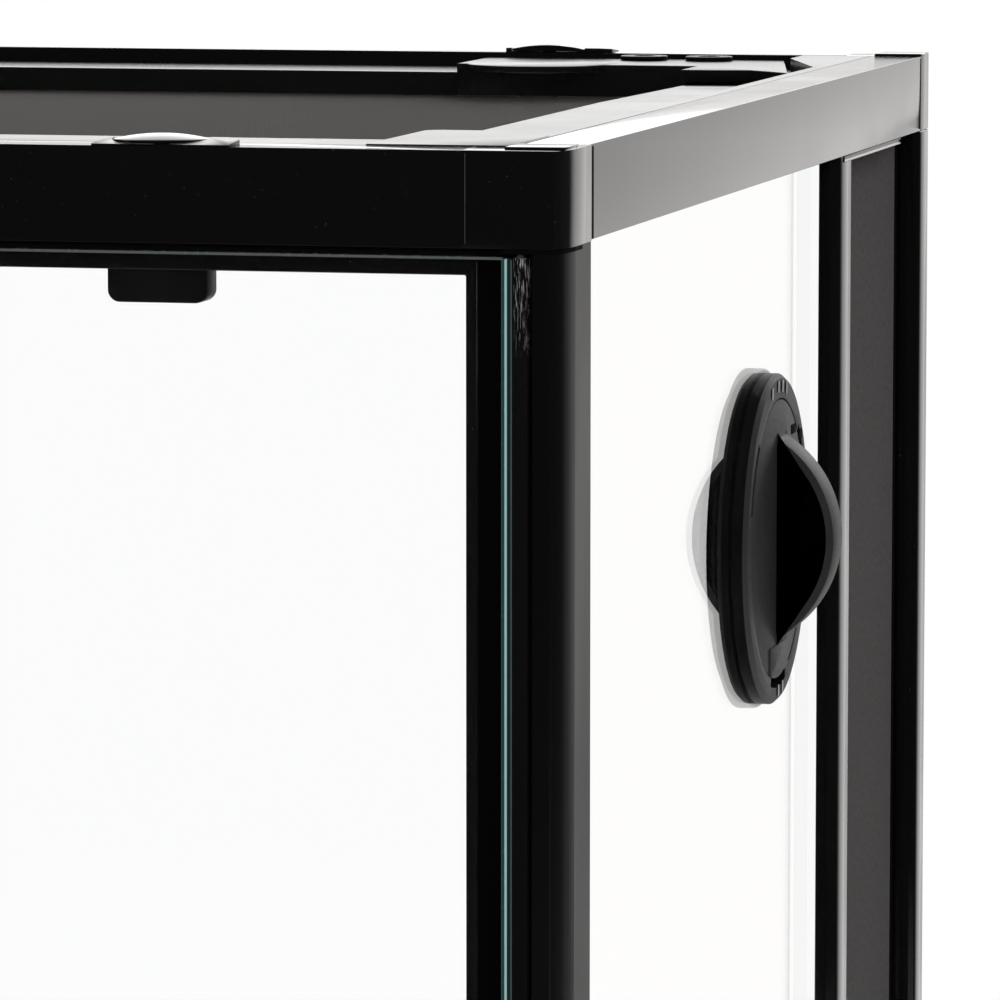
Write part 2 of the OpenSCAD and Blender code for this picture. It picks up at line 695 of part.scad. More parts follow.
module cable_modules() color(black) {
    low = rail_top - lid_rear_drop;
    high = rail_top - lid_module_drop;
    foot = rail_top - screen_depth;
    inner = 50;            // where a module starts beside the lid's rear corner
    near = deep_edge(0)[2];
    back = tank_d - lid_u;
    front = tank_d - lid_rear_in - module_wall;
    bulge_r = 27;
    bulge_out = 17;
    bulge_t = 2.4;
    bulge_x = latch_rear_x - 7;
    difference() {
        union() {
            // cover plate over the rear bar and the deep end
            in_plan(low) linear_extrude(high - low) {
                translate([inner, front]) square([module_end - inner, back - front]);
                polygon(concat([[inner, back]], [[45, tank_d - 43], near], [deep_edge(0)[1], deep_edge(0)[0],
                               [module_side + module_wall, ramp_foot], [module_side + module_wall, back]]));
            }
            // front skirts
            in_plan(foot) {
                translate([module_side, front, 0])
                    cube([module_end - module_side, module_wall, high - foot]);
                translate([module_side, ramp_foot, 0])
                    cube([module_wall, front - ramp_foot + eps, high - foot]);
            }
            in_plan(rail_top - ramp_drop + 0.7) linear_extrude(ramp_drop - 0.7 - lid_module_drop)
                polygon(concat(deep_edge(0), [for (i = [2, 1, 0]) deep_edge(module_wall)[i]]));
            // swelling beside the rear latch
            in_plan(high - bulge_t) linear_extrude(bulge_t) intersection() {
                translate([bulge_x, front - bulge_out + bulge_r]) circle(r = bulge_r);
                translate([bulge_x - bulge_r, front - bulge_r]) square([2 * bulge_r, bulge_r + eps]);
            }
        }
        cable_spots() translate([0, 0, foot]) cylinder(r = cable_r + 2, h = screen_depth + 1);
    }
}

module cable_grommets() color(soft_black) {
    high = rail_top - lid_module_drop;
    cable_spots() difference() {
        union() {
            translate([0, 0, high]) cylinder(r = grommet_r, h = 1.6);
            translate([0, 0, rail_top - lid_rear_drop - lid_wall])
                cylinder(r = cable_r + 2 - fit, h = lid_rear_drop + lid_wall - lid_module_drop + eps);
        }
        translate([0, 0, high - 10]) cylinder(r = cable_r, h = 14);
    }
}

// ---- latches ----

module latch_bases() color(black) {
    short_end = 16.7;
    long_end = 23.1;
    front_in = 1.5;
    back_in = rail_w - 0.5;
    for (spot = [[latch_front_x, -1], [latch_rear_x, 1]], side = [0, 1])
        mirror([side, 0, 0]) mirror([0, spot[1] > 0 ? 1 : 0, 0])
            translate([xo - spot[0], -yo, rail_top]) difference() {
                translate([-short_end, 0, 0]) rotate([90, 0, 90]) linear_extrude(short_end + long_end)
                    polygon([[front_in, 0], [back_in, 0], [back_in, 1.7], [front_in, 0.4]]);
                translate([0, latch_in, 0.3]) cylinder(r = knob_r + 0.5, h = 5);
                translate([0, latch_in, -1]) cylinder(r = spindle_r + run, h = 5);
                for (e = [-short_end, long_end])
                    translate([e, back_in, -1]) rotate([0, 0, 45]) cube([6, 6, 9], center = true);
            }
}

module latch_housings() color(black) {
    r = 3.5;           // radius of the lower corners
    deep = 10;
    w = housing_w;
    for (side = [-1, 1]) difference() {
        translate([side * (xo - latch_front_x), -yo + stop_y + fit, 0]) rotate([-90, 0, 0])
            linear_extrude(deep) {
                translate([-w / 2, -rail_under]) square([w, housing_h - r]);
                translate([-w / 2 + r, -rail_under]) square([w - 2 * r, housing_h]);
                for (x = [-1, 1]) translate([x * (w / 2 - r), -rail_under + housing_h - r]) circle(r = r);
            }
        translate([side * (xo - latch_front_x), -yo + latch_in, rail_under - spindle_under - 2])
            cylinder(r = spindle_r + run, h = spindle_under + 3);
    }
}

// A D-shaped knob: its flat faces the lid, so that the lid lifts out; a quarter turn locks it.
// Drawn at the front with its axis at the origin and z = 0 on the rail's top face.
module latch_knob(depth) {
    under = 0.6;
    edge = 0.7;
    sphere_r = (knob_r * knob_r + knob_dome * knob_dome) / (2 * knob_dome);
    difference() {
        union() {
            intersection() {
                translate([0, 0, under]) cylinder(r = knob_r, h = edge + knob_dome);
                translate([0, 0, under + edge + knob_dome - sphere_r]) sphere(r = sphere_r, $fn = 96);
            }
            translate([0, 0, -depth]) cylinder(r = spindle_r, h = depth + under + edge);
        }
        translate([-knob_r - 1, rail_w - latch_in, under - 1]) cube([2 * knob_r + 2, knob_r * 2, 9]);
    }
}
module front_latch() {
    translate([xo - latch_front_x, -yo + latch_in, rail_top]) latch_knob(rail_h + spindle_under);
}
module rear_latch() {
    translate([xo - latch_rear_x, yo - latch_in, rail_top]) mirror([0, 1, 0]) latch_knob(rail_h - groove - 2);
}
module latch_knob_front_right() color(black) front_latch();
module latch_knob_front_left() color(black) left() front_latch();
module latch_knob_rear_right() color(black) rear_latch();
module latch_knob_rear_left() color(black) left() rear_latch();

// ---- feeding port ----

// z points out of the tank from the outer face of the side glass; x points down, y to the rear
module at_port() { translate([glass_out, port_yc, port_z]) rotate([0, 90, 0]) children(); }

// a wedge of a disc, for the bayonet's lugs and slots
module wedge(r, angle, h) {
    linear_extrude(h) polygon(concat([[0, 0]], arc(0, 0, r, -angle / 2, angle / 2, 8)));
}

module port_ring() color(soft_black) at_port() difference() {
    bevel = 1.5;
    depth = glass_out - sleeve_end;
    union() {
        cylinder(r = port_r, h = port_out - bevel);
        translate([0, 0, port_out - bevel]) cylinder(r1 = port_r, r2 = port_r - bevel, h = bevel);
        translate([0, 0, -depth]) cylinder(r = sleeve_out, h = depth);
    }
    translate([0, 0, -depth - 1]) cylinder(r = cap_r + 0.5, h = depth + port_out + 2);
    translate([0, 0, -depth - 1]) cylinder(r = sleeve_in, h = depth + 1 - 4);
    for (k = [0 : 2]) rotate([0, 0, 120 * k]) translate([0, 0, -5]) intersection() {
        wedge(2 * port_r, lug_angle + 8, port_out + 6);
        cylinder(r = lug_r + clear, h = port_out + 6);
    }
}

module port_flange() color(soft_black) at_port() translate([0, 0, -glass_t - 6]) difference() {
    cylinder(r = port_r + 1.5, h = 6);
    translate([0, 0, -1]) cylinder(r = sleeve_out + fit, h = 8);
}

module port_seal() color("dimgray") at_port() translate([0, 0, -3.4]) difference() {
    cylinder(r = cap_r, h = 3.1);
    translate([0, 0, -1]) cylinder(r = hub_r + clear, h = 6);
}

module port_cap() color(soft_black) at_port() {
    half = grip_h / 2;
    rise = grip_out - cap_face;
    grip_r = (half * half + rise * rise) / (2 * rise);
    grip_wall = 2.5;
    front = -2;
    index_w = 30;
    index_h = 9.5;
    difference() {
        union() {
            cylinder(r = cap_r, h = cap_face);
            translate([0, 0, -12]) cylinder(r = hub_r, h = 12 + eps);
            for (k = [0 : 2]) rotate([0, 0, 120 * k]) translate([0, 0, -9.5]) intersection() {
                wedge(2 * port_r, lug_angle, lug_t);
                cylinder(r = lug_r, h = lug_t);
            }
            // half-moon grip
            intersection() {
                translate([0, front, grip_out - grip_r]) rotate([-90, 0, 0])
                    cylinder(r = grip_r, h = grip_w, $fn = 96);
                translate([-half, front, 1]) cube([2 * half, grip_w, grip_out]);
            }
            // index block under the grip
            intersection() {
                translate([half + 0.5, -index_w / 2, 1]) cube([index_h, index_w, cap_face + 1.4]);
                cylinder(r = cap_r, h = 20);
            }
        }
        translate([0, 0, -13]) cylinder(r = hub_r - 3, h = 12);
        intersection() {
            translate([0, front - 1, grip_out - grip_r]) rotate([-90, 0, 0])
                cylinder(r = grip_r - grip_wall, h = grip_w + 1 - grip_wall, $fn = 96);
            translate([-half, front - 1, 1]) cube([2 * half, grip_w + 1, grip_out]);
        }
    }
}

top_front_rail();
top_rear_rail();
top_left_rail();
top_right_rail();
bottom_front_rail();
bottom_rear_rail();
bottom_left_rail();
bottom_right_rail();
top_corner_front_left();
top_corner_front_right();
top_corner_rear_left();
top_corner_rear_right();
bottom_corner_front_left();
bottom_corner_front_right();
bottom_corner_rear_left();
bottom_corner_rear_right();
post_front_left();
post_front_right();
post_rear_left();
post_rear_right();
feet();
floor_ledge();
floor_glass();
lid_ledge();
left_glass();
right_glass();
rear_glass();
dam_glass();
left_mullion();
right_mullion();
left_vent_frame();
right_vent_frame();
left_vent_mesh();
right_vent_mesh();
door_sill();
door_stop_frame();
hinge_pins();
latch_housings();
latch_bases();
port_ring();
port_flange();
port_seal();
port_cap();
left_door_glass();
left_hinge_leaf();
left_door_handle();
door_seal();
right_door_glass();
right_hinge_leaf();
right_door_handle();
lock_body();
lock_plug();
lid_frame();
lid_screen();
cable_modules();
cable_grommets();
latch_knob_front_left();
latch_knob_front_right();
latch_knob_rear_left();
latch_knob_rear_right();
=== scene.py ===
import json
import math

import bpy
from mathutils import Matrix, Vector


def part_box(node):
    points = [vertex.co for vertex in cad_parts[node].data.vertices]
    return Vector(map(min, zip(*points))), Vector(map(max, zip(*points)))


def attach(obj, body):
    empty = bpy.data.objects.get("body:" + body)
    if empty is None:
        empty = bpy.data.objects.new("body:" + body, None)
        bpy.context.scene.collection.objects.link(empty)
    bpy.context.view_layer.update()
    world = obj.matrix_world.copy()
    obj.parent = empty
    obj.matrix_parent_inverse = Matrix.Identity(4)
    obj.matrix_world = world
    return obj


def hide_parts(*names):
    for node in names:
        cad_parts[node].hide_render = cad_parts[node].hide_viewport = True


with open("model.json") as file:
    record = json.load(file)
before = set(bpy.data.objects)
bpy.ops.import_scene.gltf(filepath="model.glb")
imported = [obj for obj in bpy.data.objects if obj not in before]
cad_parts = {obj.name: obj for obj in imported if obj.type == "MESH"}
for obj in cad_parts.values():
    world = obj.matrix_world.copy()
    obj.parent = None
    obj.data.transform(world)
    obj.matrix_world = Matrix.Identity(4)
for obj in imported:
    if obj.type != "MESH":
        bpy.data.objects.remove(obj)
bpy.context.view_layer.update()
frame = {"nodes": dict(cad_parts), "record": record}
nodes = frame["nodes"]
body_of_node = {
    node: body
    for body, members in frame["record"]["behaviour"]["bodies"].items()
    for node in members
}
slot_of_node = {s["node"]: s["material_slot"] for s in frame["record"]["subparts"]}

bpy.ops.object.select_all(action="DESELECT")
bpy.context.scene.view_settings.view_transform = "Standard"


# ---- camera ----

def place_camera():
    """The tank's right front corner fills the frame, seen from a little above and to the right."""
    pan, tilt = 13.19, 6.43
    data = bpy.data.cameras.new("camera")
    data.sensor_width = 36.0
    data.lens = 237.9
    data.clip_start, data.clip_end = 0.05, 60.0
    camera = bpy.data.objects.new("camera", data)
    bpy.context.scene.collection.objects.link(camera)
    turn = Matrix.Rotation(math.radians(pan), 3, "Z") @ Matrix.Rotation(math.radians(90 - tilt), 3, "X")
    camera.location = (0.702, -2.072, 0.718)
    camera.rotation_euler = turn.to_euler()
    bpy.context.scene.camera = camera


# ---- shader tools ----

def new_material(name):
    mat = bpy.data.materials.new(name)
    mat.use_nodes = True
    return mat, mat.node_tree, mat.node_tree.nodes["Principled BSDF"]


def coordinates(tree, stretch=(1, 1, 1), slant=0):
    """Object coordinates, slanted by degrees in the front view and scaled along each axis."""
    coords = tree.nodes.new("ShaderNodeTexCoord")
    mapping = tree.nodes.new("ShaderNodeMapping")
    mapping.inputs["Rotation"].default_value = (0, math.radians(slant), 0)
    mapping.inputs["Scale"].default_value = stretch
    tree.links.new(coords.outputs["Object"], mapping.inputs["Vector"])
    return mapping.outputs["Vector"]


def along(tree, vector, axis):
    """One coordinate of a vector."""
    parts = tree.nodes.new("ShaderNodeSeparateXYZ")
    tree.links.new(vector, parts.inputs["Vector"])
    return parts.outputs[axis]


def noise(tree, vector, scale, detail=3.0, rough=0.5):
    node = tree.nodes.new("ShaderNodeTexNoise")
    node.inputs["Scale"].default_value = scale
    node.inputs["Detail"].default_value = detail
    node.inputs["Roughness"].default_value = rough
    tree.links.new(vector, node.inputs["Vector"])
    return node.outputs["Fac"]


def remap(tree, value, lo, hi, out_lo, out_hi):
    node = tree.nodes.new("ShaderNodeMapRange")
    for key, number in (("From Min", lo), ("From Max", hi), ("To Min", out_lo), ("To Max", out_hi)):
        node.inputs[key].default_value = number
    tree.links.new(value, node.inputs["Value"])
    return node.outputs["Result"]


def grey(level):
    return (level, level, level)


def ramp(tree, value, stops):
    node = tree.nodes.new("ShaderNodeValToRGB")
    for k, (place, colour) in enumerate(stops):
        stop = node.color_ramp.elements[k] if k < 2 else node.color_ramp.elements.new(place)
        stop.position = place
        stop.color = (*colour, 1)
    tree.links.new(value, node.inputs["Fac"])
    return node.outputs["Color"]


def reckon(tree, operation, *values):
    """A calculation on sockets and plain numbers."""
    node = tree.nodes.new("ShaderNodeMath")
    node.operation = operation
    for socket, value in zip(node.inputs, values):
        if isinstance(value, bpy.types.NodeSocket):
            tree.links.new(value, socket)
        else:
            socket.default_value = value
    return node.outputs["Value"]


def mix_shaders(tree, share, first, second):
    """Two shaders in one: as much of the second as the share says."""
    node = tree.nodes.new("ShaderNodeMixShader")
    for socket, source in zip(node.inputs, (share, first, second)):
        tree.links.new(source, socket)
    return node.outputs["Shader"]


def colour_by(tree, shader, value, stops):
    """The colour follows a pattern."""
    tree.links.new(ramp(tree, value, stops), shader.inputs["Base Color"])


def roughness_by(tree, shader, value, smooth, rough, lo=0.3, hi=0.7):
    """The roughness follows a pattern, between the pattern's low and high value."""
    tree.links.new(remap(tree, value, lo, hi, smooth, rough), shader.inputs["Roughness"])


def bump(tree, shader, height, strength, distance):
    """The surface rises and falls with a pattern."""
    node = tree.nodes.new("ShaderNodeBump")
    node.inputs["Strength"].default_value = strength
    node.inputs["Distance"].default_value = distance
    tree.links.new(height, node.inputs["Height"])
    tree.links.new(node.outputs["Normal"], shader.inputs["Normal"])


# ---- materials ----

def gloss_black_plastic():
    """Moulded black plastic with a high gloss, faint mottling and a little dust."""
    mat, tree, shader = new_material("gloss_black_plastic")
    where = coordinates(tree)
    dust = noise(tree, where, 900, 2, 0.6)
    colour_by(tree, shader, dust, [
        (0.0, (0.0030, 0.0029, 0.0030)), (0.735, (0.0038, 0.0037, 0.0038)), (0.80, grey(0.08))])
    roughness_by(tree, shader, noise(tree, where, 14), 0.06, 0.13)
    shader.inputs["IOR"].default_value = 1.42
    bump(tree, shader, noise(tree, where, 260, 4), 0.05, 0.0002)
    return mat


def satin_black_plastic():
    """The lid, its cable modules and the latch bases: satin black plastic with a little dust."""
    mat, tree, shader = new_material("satin_black_plastic")
    where = coordinates(tree)
    dust = noise(tree, where, 800, 2, 0.6)
    colour_by(tree, shader, dust, [
        (0.0, (0.0032, 0.0031, 0.0031)), (0.71, (0.0042, 0.0041, 0.0041)), (0.78, grey(0.07))])
    roughness_by(tree, shader, noise(tree, where, 16), 0.26, 0.32)
    bump(tree, shader, noise(tree, where, 1100), 0.04, 0.0002)
    return mat


def extruded_black_plastic():
    """The front posts: drawn plastic, duller than the mouldings, with faint lines along it."""
    mat, tree, shader = new_material("extruded_black_plastic")
    lines = noise(tree, coordinates(tree, (1, 1, 0.02)), 900)
    clouds = noise(tree, coordinates(tree, (1, 1, 0.4)), 18)
    colour_by(tree, shader, clouds, [(0.25, grey(0.0026)), (0.75, (0.0038, 0.0037, 0.0037))])
    roughness_by(tree, shader, clouds, 0.34, 0.42)
    shader.inputs["Specular IOR Level"].default_value = 0.2
    bump(tree, shader, lines, 0.12, 0.0002)
    return mat


def moulded_black_plastic():
    """Black plastic with a fine leathery grain, as on the feeding port."""
    mat, tree, shader = new_material("moulded_black_plastic")
    where = coordinates(tree)
    grain = noise(tree, where, 1400, 4, 0.6)
    clouds = noise(tree, where, 30)
    colour_by(tree, shader, clouds, [(0.25, (0.020, 0.020, 0.0205)), (0.75, (0.032, 0.032, 0.0325))])
    roughness_by(tree, shader, grain, 0.42, 0.6)
    bump(tree, shader, grain, 0.35, 0.0003)
    return mat


def dull_black_plastic():
    """Latch housings, grommets, the port's flange and its ring's rims: black with a soft sheen."""
    mat, tree, shader = new_material("dull_black_plastic")
    where = coordinates(tree)
    grain = noise(tree, where, 900)
    colour_by(tree, shader, noise(tree, where, 60), [(0.3, grey(0.004)), (0.7, (0.007, 0.0068, 0.0068))])
    roughness_by(tree, shader, grain, 0.3, 0.42)
    shader.inputs["Specular IOR Level"].default_value = 0.08
    bump(tree, shader, grain, 0.08, 0.0002)
    return mat


def scratched_highlight_black_plastic():
    """The hinge leaves: gloss black, scratched near the tops of their barrels, where a painted highlight
    lies pale along the scratches.
    """
    mat, tree, shader = new_material("scratched_highlight_black_plastic")
    where = coordinates(tree)
    streaks = noise(tree, coordinates(tree, (1, 1, 0.07), slant=-32), 3200, 3, 0.6)
    scratches = remap(tree, streaks, 0.55, 0.62, 0.0, 1.0)
    drift = remap(tree, noise(tree, where, 90), 0.35, 0.6, 0.25, 1.0)
    barrel_end = remap(tree, along(tree, where, "Z"), 0.52, 0.585, 0, 1)
    near_top = ramp(tree, barrel_end, [
        (0.0, grey(0.0)), (0.5, grey(0.01)), (0.62, grey(0.5)), (0.95, grey(1.0))])
    from_middle = reckon(tree, "ABSOLUTE", along(tree, where, "X"))
    on_barrel = remap(tree, from_middle, 0.2915, 0.2922, 0.0, 1.0)
    painted_highlight = scratches
    for layer in (drift, near_top, on_barrel):
        painted_highlight = reckon(tree, "MULTIPLY", painted_highlight, layer)
    # Painted highlight: the pale streaks on the barrels' tops stand in for the light the rounded barrels
    # catch.
    colour_by(tree, shader, painted_highlight, [(0.0, grey(0.0035)), (1.0, (0.50, 0.49, 0.48))])
    roughness_by(tree, shader, painted_highlight, 0.1, 0.45, lo=0.0, hi=0.5)
    bump(tree, shader, scratches, 0.05, 0.0001)
    return mat


def painted_shade_black():
    """Painted shade: near-black for thin pieces laid where gaps and recesses fall in shade."""
    mat, tree, shader = new_material("painted_shade_black")
    grain = noise(tree, coordinates(tree), 600)
    colour_by(tree, shader, grain, [(0.3, grey(0.0015)), (0.7, grey(0.003))])
    roughness_by(tree, shader, grain, 0.7, 0.85)
    shader.inputs["Specular IOR Level"].default_value = 0.05
    return mat


def black_rubber():
    mat, tree, shader = new_material("black_rubber")
    grain = noise(tree, coordinates(tree), 700, 5, 0.6)
    colour_by(tree, shader, grain, [(0.3, grey(0.012)), (0.7, (0.022, 0.022, 0.021))])
    roughness_by(tree, shader, grain, 0.55, 0.7)
    bump(tree, shader, grain, 0.3, 0.0003)
    return mat


def polished_steel():
    mat, tree, shader = new_material("polished_steel")
    brushed = noise(tree, coordinates(tree, (30, 30, 1)), 40)
    shader.inputs["Metallic"].default_value = 1.0
    colour_by(tree, shader, brushed, [(0.3, (0.55, 0.55, 0.56)), (0.7, (0.72, 0.72, 0.73))])
    roughness_by(tree, shader, brushed, 0.12, 0.24)
    bump(tree, shader, brushed, 0.04, 0.0002)
    return mat


def coated_wire(name, dark, light):
    """Coated wire of the screens."""
    mat, tree, shader = new_material(name)
    coat = noise(tree, coordinates(tree), 500)
    colour_by(tree, shader, coat, [(0.3, dark), (0.7, light)])
    roughness_by(tree, shader, coat, 0.5, 0.62)
    shader.inputs["Specular IOR Level"].default_value = 0.12
    bump(tree, shader, coat, 0.1, 0.0001)
    return mat


def let_light_through(tree, shader, tint):
    """Lets lamp light pass a see-through shader."""
    path = tree.nodes.new("ShaderNodeLightPath")
    clear = tree.nodes.new("ShaderNodeBsdfTransparent")
    clear.inputs["Color"].default_value = (*tint, 1)
    surface = mix_shaders(tree, path.outputs["Is Shadow Ray"], shader.outputs["BSDF"], clear.outputs["BSDF"])
    tree.links.new(surface, tree.nodes["Material Output"].inputs["Surface"])


def pane_shader(name, smeared):
    """Clear glass with a trace of green and the faintest smears."""
    mat, tree, shader = new_material(name)
    smears = noise(tree, coordinates(tree, (1, 1, 0.35)), 9, 4)
    shader.inputs["Transmission Weight"].default_value = 1.0
    colour_by(tree, shader, smears, [(0.2, (0.996, 1.0, 0.998)), (0.8, grey(1.0))])
    roughness_by(tree, shader, smears, 0.0, smeared, lo=0.45, hi=0.75)
    let_light_through(tree, shader, (0.97, 0.99, 0.98))
    return mat, tree, shader


def thin_glass():
    """Every pane but the side ones: it mirrors little."""
    mat, tree, shader = pane_shader("thin_glass", 0.004)
    shader.inputs["IOR"].default_value = 1.2
    return mat


def side_glass():
    """The side panes: they mirror as glass does up to the port, and hardly at all behind it."""
    mat, tree, shader = pane_shader("side_glass", 0.002)
    back = along(tree, coordinates(tree), "Y")
    tree.links.new(remap(tree, back, 0.087, 0.091, 1.42, 1.02), shader.inputs["IOR"])
    return mat


def ground_glass(name, bands, glow):
    """A free pane edge, ground smooth: bands of (depth into the glass, colour), front to back, with painted
    light and painted shade in them.

    The glow is painted light: emission on an edge that is no lamp."""
    mat, tree, shader = new_material(name)
    lo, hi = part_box("right_door_glass")
    grind = noise(tree, coordinates(tree), 500)
    depth = remap(tree, along(tree, coordinates(tree), "Y"), lo[1], hi[1], 0, 1)
    colour = ramp(tree, depth, bands)
    tree.links.new(colour, shader.inputs["Base Color"])
    tree.links.new(colour, shader.inputs["Emission Color"])
    # Painted glow: this emission stands in for light on the edge.
    shader.inputs["Emission Strength"].default_value = glow
    roughness_by(tree, shader, grind, 0.15, 0.3)
    bump(tree, shader, grind, 0.1, 0.0001)
    return mat


def clear_strip_plastic():
    mat, tree, shader = new_material("clear_strip_plastic")
    haze = noise(tree, coordinates(tree, (1, 1, 0.2)), 80)
    shader.inputs["Transmission Weight"].default_value = 0.85
    shader.inputs["IOR"].default_value = 1.4
    colour_by(tree, shader, haze, [(0.3, (0.86, 0.88, 0.88)), (0.7, (0.94, 0.95, 0.95))])
    roughness_by(tree, shader, haze, 0.08, 0.2)
    let_light_through(tree, shader, (0.85, 0.87, 0.87))
    return mat


finishes = {
    "gloss_black": gloss_black_plastic(),
    "matte_black": moulded_black_plastic(),
    "clear_glass": thin_glass(),
    "clear_strip": clear_strip_plastic(),
    "black_rubber": black_rubber(),
    "bright_steel": polished_steel(),
    "dark_mesh": coated_wire("screen_wire", (0.044, 0.038, 0.035), (0.068, 0.060, 0.056)),
}
vent_wire = coated_wire("vent_wire", (0.066, 0.062, 0.061), (0.098, 0.093, 0.092))
port_glass = side_glass()
# Painted light: the teal upright edge's bright bands and its glow stand in for light falling on it.
teal_edge_painted_light = ground_glass("teal_glass_edge_painted_light", [
    (0.0, (0.020, 0.050, 0.048)), (0.24, (0.012, 0.040, 0.036)), (0.34, (0.52, 0.86, 0.83)),
    (0.90, (0.60, 0.92, 0.90)), (1.0, (0.40, 0.66, 0.65))], 0.40)
# Painted shade: the grey edges across are darkened as the shade under the rails.
grey_edge_painted_shade = ground_glass("grey_glass_edge_painted_shade", [
    (0.0, (0.095, 0.105, 0.110)), (0.5, (0.190, 0.210, 0.220)), (1.0, (0.115, 0.126, 0.134))], 0.0)
lid_plastic = satin_black_plastic()
painted_gap_shade = painted_shade_black()
drawn_plastic = extruded_black_plastic()
hinge_plastic = scratched_highlight_black_plastic()
dull_plastic = dull_black_plastic()


def paint(obj, *mats):
    obj.data.materials.clear()
    for mat in mats:
        obj.data.materials.append(mat)


# ---- shared making ----

def alone(obj):
    """Selects one object and makes it the active one."""
    bpy.ops.object.select_all(action="DESELECT")
    obj.select_set(True)
    bpy.context.view_layer.objects.active = obj


def pick_faces(obj, wanted):
    """In edit mode, leaves only the wanted faces selected."""
    bpy.ops.mesh.select_mode(type="FACE")
    bpy.ops.mesh.select_all(action="DESELECT")
    bpy.ops.object.mode_set(mode="OBJECT")
    for face in obj.data.polygons:
        face.select = bool(wanted(face))
    bpy.ops.object.mode_set(mode="EDIT")


def settle(obj, body):
    """A finished piece rides on its body."""
    alone(obj)
    bpy.ops.object.transform_apply(location=True, rotation=True, scale=True)
    bpy.ops.object.shade_smooth_by_angle(angle=math.radians(30))
    obj.select_set(False)
    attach(obj, body)


def stand_for(obj, node):
    """A finished piece takes a CAD node's place and body, and the node is hidden."""
    settle(obj, body_of_node[node])
    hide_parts(node)


def merged_copy(node):
    """A copy of a CAD node with its loose triangles merged and its flat faces whole."""
    mesh = nodes[node].data.copy()
    mesh.name = node + "_eased"
    piece = bpy.data.objects.new(mesh.name, mesh)
    bpy.context.scene.collection.objects.link(piece)
    alone(piece)
    bpy.ops.object.mode_set(mode="EDIT")
    bpy.ops.mesh.select_mode(type="VERT")
    bpy.ops.mesh.select_all(action="SELECT")
    bpy.ops.mesh.remove_doubles(threshold=2e-6)
    bpy.ops.mesh.dissolve_limited(angle_limit=math.radians(1.0))
    bpy.ops.object.mode_set(mode="OBJECT")
    return piece


def ease(piece, radius, steps=2):
    """Rounds a piece's sharp edges over, as moulded and ground pieces have them."""
    alone(piece)
    bevel = piece.modifiers.new("rounded edges", "BEVEL")
    bevel.width = radius
    bevel.segments = steps
    bevel.limit_method = "ANGLE"
    bevel.angle_limit = math.radians(35)
    bpy.ops.object.modifier_apply(modifier=bevel.name)
    return piece


def bar(name, lo, hi, radius):
    """A straight bar between two corners, its edges rounded."""
    middle = [(a + b) / 2 for a, b in zip(lo, hi)]
    size = [b - a for a, b in zip(lo, hi)]
    bpy.ops.mesh.primitive_cube_add(size=1, location=middle)
    piece = bpy.context.object
    piece.name = name
    piece.scale = size
    alone(piece)
    bpy.ops.object.transform_apply(location=True, rotation=True, scale=True)
    bpy.ops.object.mode_set(mode="EDIT")
    bpy.ops.mesh.select_all(action="SELECT")
    bpy.ops.mesh.bevel(offset=radius, segments=2, affect="EDGES")
    bpy.ops.object.mode_set(mode="OBJECT")
    return piece


def thin_axis(lo, hi):
    """The axis along which a flat box is thinnest."""
    return min(range(3), key=lambda axis: hi[axis] - lo[axis])


# ---- panes ----

def panes():
    """Every pane with ground edges; the doors' free edges show teal upright, lit with painted light and
    glow, and grey across, darkened with painted shade.
    """
    for node in [n for n, s in slot_of_node.items() if s == "clear_glass"]:
        piece = ease(merged_copy(node), 0.0006, 1)
        face_glass = port_glass if node in ("right_glass", "left_glass") else finishes["clear_glass"]
        free = "door" in node
        paint(piece, face_glass, teal_edge_painted_light if free else face_glass, grey_edge_painted_shade if free else face_glass)
        thin = thin_axis(*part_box(node))
        for face in piece.data.polygons:
            if abs(face.normal[thin]) > 0.99:
                face.material_index = 0
            else:
                face.material_index = 2 if abs(face.normal.z) > 0.5 else 1
        stand_for(piece, node)


# ---- mouldings ----

# How far each kind of moulding's edges are rounded; the first that fits a node's name counts.
edge_radii = {
    "rail": 0.00025, "corner": 0.0006, "post": 0.0005, "port": 0.0006, "housings": 0.0015,
    "latch": 0.0004, "lid_frame": 0.0008, "handle": 0.002, "cable_modules": 0.0015, "feet": 0.001,
}
other_edges = 0.0004

# Distances from the tank's middle up to which the mullions and vent frames are cut away.
mullion_cut = 0.2971
vent_frame_cut = 0.2942

# The long curve of a front corner, from its front to its side: how far it runs across the front
# and back along the side.
block_curve = {"side": 0.3062, "front": -0.3062, "across": 0.0050, "back": 0.017}
post_curve = {"side": 0.3059, "front": -0.3050, "across": 0.0045, "back": 0.016}
slit_curve = {"side": 0.3060, "front": -0.3051, "across": 0.0045, "back": 0.016}

cap_face = 0.300           # where the CAD has the port cap's face
cap_forward = 0.0019       # how far that face moves out, to lie level with the ring
post_side_from = 0.3045    # what lies beyond this is a front post's outer side
post_outward = 0.0009


def cut_inside(piece, hand, at):
    """Cuts away what a piece hides inside the glass's groove, so the clear pane ends at its outer plate."""
    alone(piece)
    bpy.ops.object.mode_set(mode="EDIT")
    bpy.ops.mesh.select_all(action="SELECT")
    bpy.ops.mesh.bisect(plane_co=(hand * at, 0, 0), plane_no=(hand, 0, 0), use_fill=True, clear_inner=True)
    bpy.ops.object.mode_set(mode="OBJECT")


def push_faces(piece, wanted, by):
    """Moves the wanted faces along X."""
    alone(piece)
    bpy.ops.object.mode_set(mode="EDIT")
    pick_faces(piece, wanted)
    bpy.ops.transform.translate(value=(by, 0, 0))
    bpy.ops.object.mode_set(mode="OBJECT")


